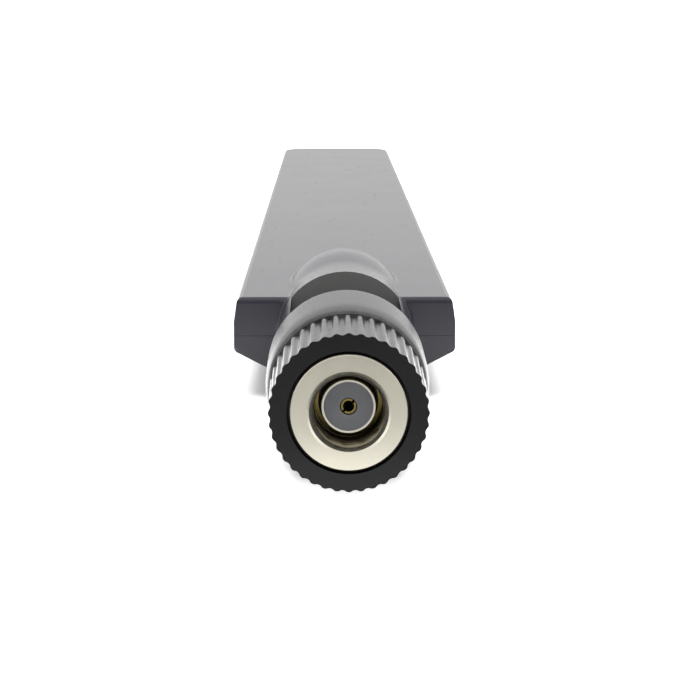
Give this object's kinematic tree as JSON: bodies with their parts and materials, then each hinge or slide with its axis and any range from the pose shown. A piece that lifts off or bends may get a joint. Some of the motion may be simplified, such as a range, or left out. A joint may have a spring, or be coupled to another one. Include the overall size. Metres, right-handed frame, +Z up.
{
  "type": "hinged blade antenna",
  "caption": "Flat blade antenna on a swivelling, tilting hinge, with a knurled coupling nut and a reverse-polarity coaxial plug.",
  "frame": {"origin": "mouth of the plug's centre contact, on the plug's axis", "axes": "+Y from the plug along the blade to its tip, +X across the blade's width, +Z up through its flat upper face"},
  "size_m": [0.0222, 0.227, 0.0144],
  "materials": {
    "black_plastic": "fine spark-eroded satin texture, moulded",
    "sleeve_plastic": "satin, moulded with a straight knurl",
    "nickel_plate": "nickel plated brass with a warm tone, fine turning marks",
    "gold_plate": "hard gold plating over brass, smooth",
    "ptfe": "waxy white fluoropolymer, satin",
    "silicone": "dark silicone, soft",
    "spring_steel": "rolled spring steel",
    "pin_steel": "ground stainless steel",
    "board_laminate": "glass-epoxy laminate with green solder mask",
    "copper": "bare copper foil",
    "solder": "tin solder, bright, slightly wavy",
    "foam": "closed-cell foam, matt",
    "jacket_plastic": "extruded black cable jacket",
    "braid_wire": "tinned copper braid"
  },
  "bodies": {
    "plug": {"plug_body": "nickel_plate", "insulator": "ptfe", "centre_contact": "gold_plate", "gasket": "silicone", "nut_clip": "spring_steel", "swivel_retainer": "spring_steel", "crimp_ferrule": "nickel_plate", "spring_washer": "spring_steel"},
    "coupling": {"coupling_nut": "nickel_plate", "knurled_sleeve": "sleeve_plastic"},
    "swivel": {"swivel_collar": "black_plastic", "hinge_knuckle": "black_plastic", "coax_jacket": "jacket_plastic", "coax_braid": "braid_wire", "coax_dielectric": "ptfe", "coax_conductor": "copper"},
    "blade": {"blade_body": "black_plastic", "blade_cover": "black_plastic", "hinge_pins": "pin_steel", "circuit_board": "board_laminate", "copper_front": "copper", "copper_back": "copper", "solder_joints": "solder", "foam_pads": "foam"}
  },
  "joints": [
    {"name": "nut_spin", "type": "hinge", "parent": "plug", "child": "coupling", "pos_m": [0, 0, 0], "axis": [0, 1, 0], "continuous": true},
    {"name": "swivel_turn", "type": "hinge", "parent": "plug", "child": "swivel", "pos_m": [0, 0.01, 0], "axis": [0, 1, 0], "range_deg": [-180, 0]},
    {"name": "blade_tilt", "type": "hinge", "parent": "swivel", "child": "blade", "pos_m": [0, 0.028, 0], "axis": [1, 0, 0], "range_deg": [0, 90], "deforming": ["coax_jacket", "coax_braid", "coax_dielectric", "coax_conductor"]}
  ]
}
